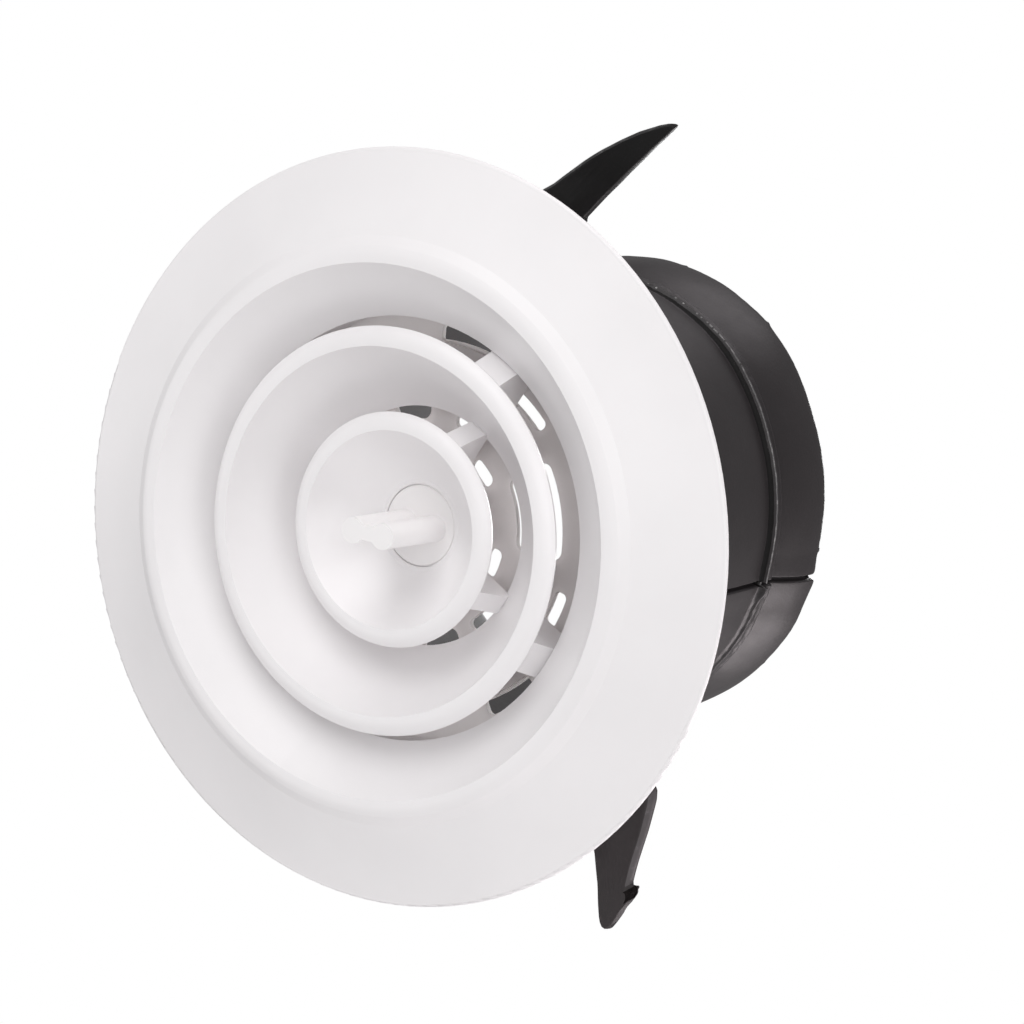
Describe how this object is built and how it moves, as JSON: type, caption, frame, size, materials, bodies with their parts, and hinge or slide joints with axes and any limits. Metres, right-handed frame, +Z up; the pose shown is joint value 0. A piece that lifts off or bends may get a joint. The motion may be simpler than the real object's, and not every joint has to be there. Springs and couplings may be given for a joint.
{
  "type": "ceiling air diffuser",
  "caption": "Round white ventilation diffuser with a flanged bell mouth, concentric core, turning slotted damper, black duct sleeve and springy mounting claws.",
  "frame": {"origin": "centre of the ceiling cut-out, in the plane of the flange's back rim that meets the ceiling or wall", "axes": "+Y runs along the duct, away from the room; -Y out of the face; +Z up, as on a wall or as pictured. For a ceiling, +Y is turned up"},
  "size_m": [0.1667, 0.0965, 0.1569],
  "materials": {
    "white_plastic": "satin moulded ABS",
    "black_sleeve": "soft black plastic with moulding marks",
    "black_claw": "flexible black plastic",
    "zinc_steel": "zinc plated"
  },
  "bodies": {
    "frame": {"face_frame": "white_plastic", "diffuser_core": "white_plastic", "grille_plate": "white_plastic", "duct_sleeve": "black_sleeve"},
    "damper": {"control_knob": "white_plastic", "damper_disc": "white_plastic", "spring_washer": "zinc_steel", "flat_washer": "zinc_steel", "centre_screw": "zinc_steel"},
    "claw_upper": {"claw_upper": "black_claw"},
    "claw_left": {"claw_left": "black_claw"},
    "claw_lower": {"claw_lower": "black_claw"}
  },
  "joints": [
    {"name": "damper_turn", "type": "hinge", "parent": "frame", "child": "damper", "pos_m": [0, 0.0121, 0], "axis": [0, 1, 0], "range_deg": [0, 45]},
    {"name": "claw_upper_fold", "type": "hinge", "parent": "frame", "child": "claw_upper", "pos_m": [0.02324, 0.0076, 0.04371], "axis": [-0.8829, 0, 0.4695], "range_deg": [-15, 48], "stiffness_Nm_per_rad": 0.12},
    {"name": "claw_left_fold", "type": "hinge", "parent": "frame", "child": "claw_left", "pos_m": [-0.04947, 0.0076, -0.00173], "axis": [0.0349, 0, -0.9994], "range_deg": [-33, 30], "stiffness_Nm_per_rad": 0.12},
    {"name": "claw_lower_fold", "type": "hinge", "parent": "frame", "child": "claw_lower", "pos_m": [0.02623, 0.0076, -0.04198], "axis": [0.848, 0, 0.5299], "range_deg": [-15, 48], "stiffness_Nm_per_rad": 0.12}
  ]
}
